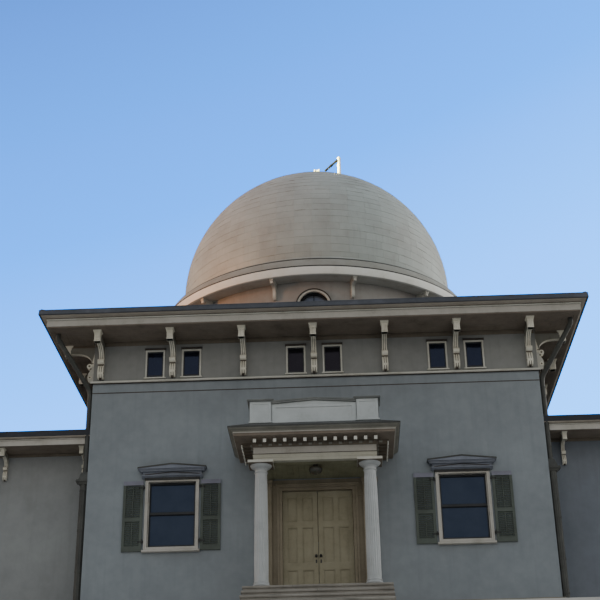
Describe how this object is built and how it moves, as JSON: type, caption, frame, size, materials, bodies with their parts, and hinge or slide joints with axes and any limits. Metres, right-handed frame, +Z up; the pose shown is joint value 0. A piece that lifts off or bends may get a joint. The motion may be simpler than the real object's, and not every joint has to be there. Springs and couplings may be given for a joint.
{
  "type": "observatory dome",
  "caption": "Stuccoed observatory with a turning hemispherical dome on a round drum, a bracketed square block, a columned porch and low wings.",
  "frame": {"origin": "on the ground plane, under the dome's axis at the middle of the square main block", "axes": "+Z up along the dome's axis, -Y out of the entrance front, +X to the right of someone facing the entrance"},
  "size_m": [23.11, 13.548, 14.06],
  "materials": {
    "stucco": "weathered lime stucco, matt",
    "dressed_stone": "sawn stone, matt",
    "timber_boards": "planed boards, worn",
    "trim_paint": "oil-painted timber, weathered",
    "white_paint": "oil-painted timber, weathered",
    "roof_metal": "dark painted sheet metal",
    "dome_metal": "pale painted sheet metal, slightly streaked",
    "shutter_paint": "brown-grey paint, faded",
    "door_paint": "buff paint on joinery",
    "window_glass": "plain window glass, dark behind",
    "opal_glass": "opal glass bowl",
    "iron": "dark painted iron rod"
  },
  "bodies": {
    "building": {"back_glass": "window_glass", "back_wall": "stucco", "brackets_back": "trim_paint", "brackets_front": "trim_paint", "brackets_left": "trim_paint", "brackets_right": "trim_paint", "dome_floor": "timber_boards", "door_frame": "trim_paint", "downpipe_left": "roof_metal", "downpipe_right": "roof_metal", "drum_cornice": "white_paint", "drum_glass": "window_glass", "drum_wall_back": "stucco", "drum_wall_front": "stucco", "drum_wall_left": "stucco", "drum_wall_right": "stucco", "foundation": "dressed_stone", "frieze_glass": "window_glass", "front_glass_left": "window_glass", "front_glass_right": "window_glass", "front_wall_left": "stucco", "front_wall_over_door": "stucco", "front_wall_right": "stucco", "front_window_left": "trim_paint", "front_window_right": "trim_paint", "ground_floor": "timber_boards", "left_wall": "stucco", "left_wing_eave": "trim_paint", "left_wing_glass": "window_glass", "left_wing_roof": "roof_metal", "left_wing_walls": "stucco", "main_eave": "trim_paint", "main_roof": "roof_metal", "porch_column_left": "white_paint", "porch_column_right": "white_paint", "porch_coping": "roof_metal", "porch_cornice": "trim_paint", "porch_entablature": "trim_paint", "porch_lamp": "opal_glass", "porch_parapet": "white_paint", "porch_steps": "dressed_stone", "right_wall": "stucco", "right_wing_eave": "trim_paint", "right_wing_glass": "window_glass", "right_wing_roof": "roof_metal", "right_wing_walls": "stucco", "shutter_left_window_left": "shutter_paint", "shutter_left_window_right": "shutter_paint", "shutter_right_window_left": "shutter_paint", "shutter_right_window_right": "shutter_paint", "string_course": "trim_paint", "upper_floor": "timber_boards"},
    "dome": {"dome_shell_left": "dome_metal", "dome_shell_right": "dome_metal", "slit_cover": "dome_metal", "shutter_mast": "white_paint", "shutter_stay": "iron", "shutter_pulley": "white_paint"},
    "leaf_left": {"door_left": "door_paint"},
    "leaf_right": {"door_right": "door_paint"}
  },
  "joints": [
    {"name": "dome_rotation", "type": "hinge", "parent": "building", "child": "dome", "pos_m": [0, 0, 9.254], "axis": [0, 0, 1], "continuous": true},
    {"name": "door_left_hinge", "type": "hinge", "parent": "building", "child": "leaf_left", "pos_m": [-0.7575, -4.926, 0.65], "axis": [0, 0, 1], "range_deg": [0, 90]},
    {"name": "door_right_hinge", "type": "hinge", "parent": "building", "child": "leaf_right", "pos_m": [0.7575, -4.926, 0.65], "axis": [0, 0, -1], "range_deg": [0, 90]}
  ]
}
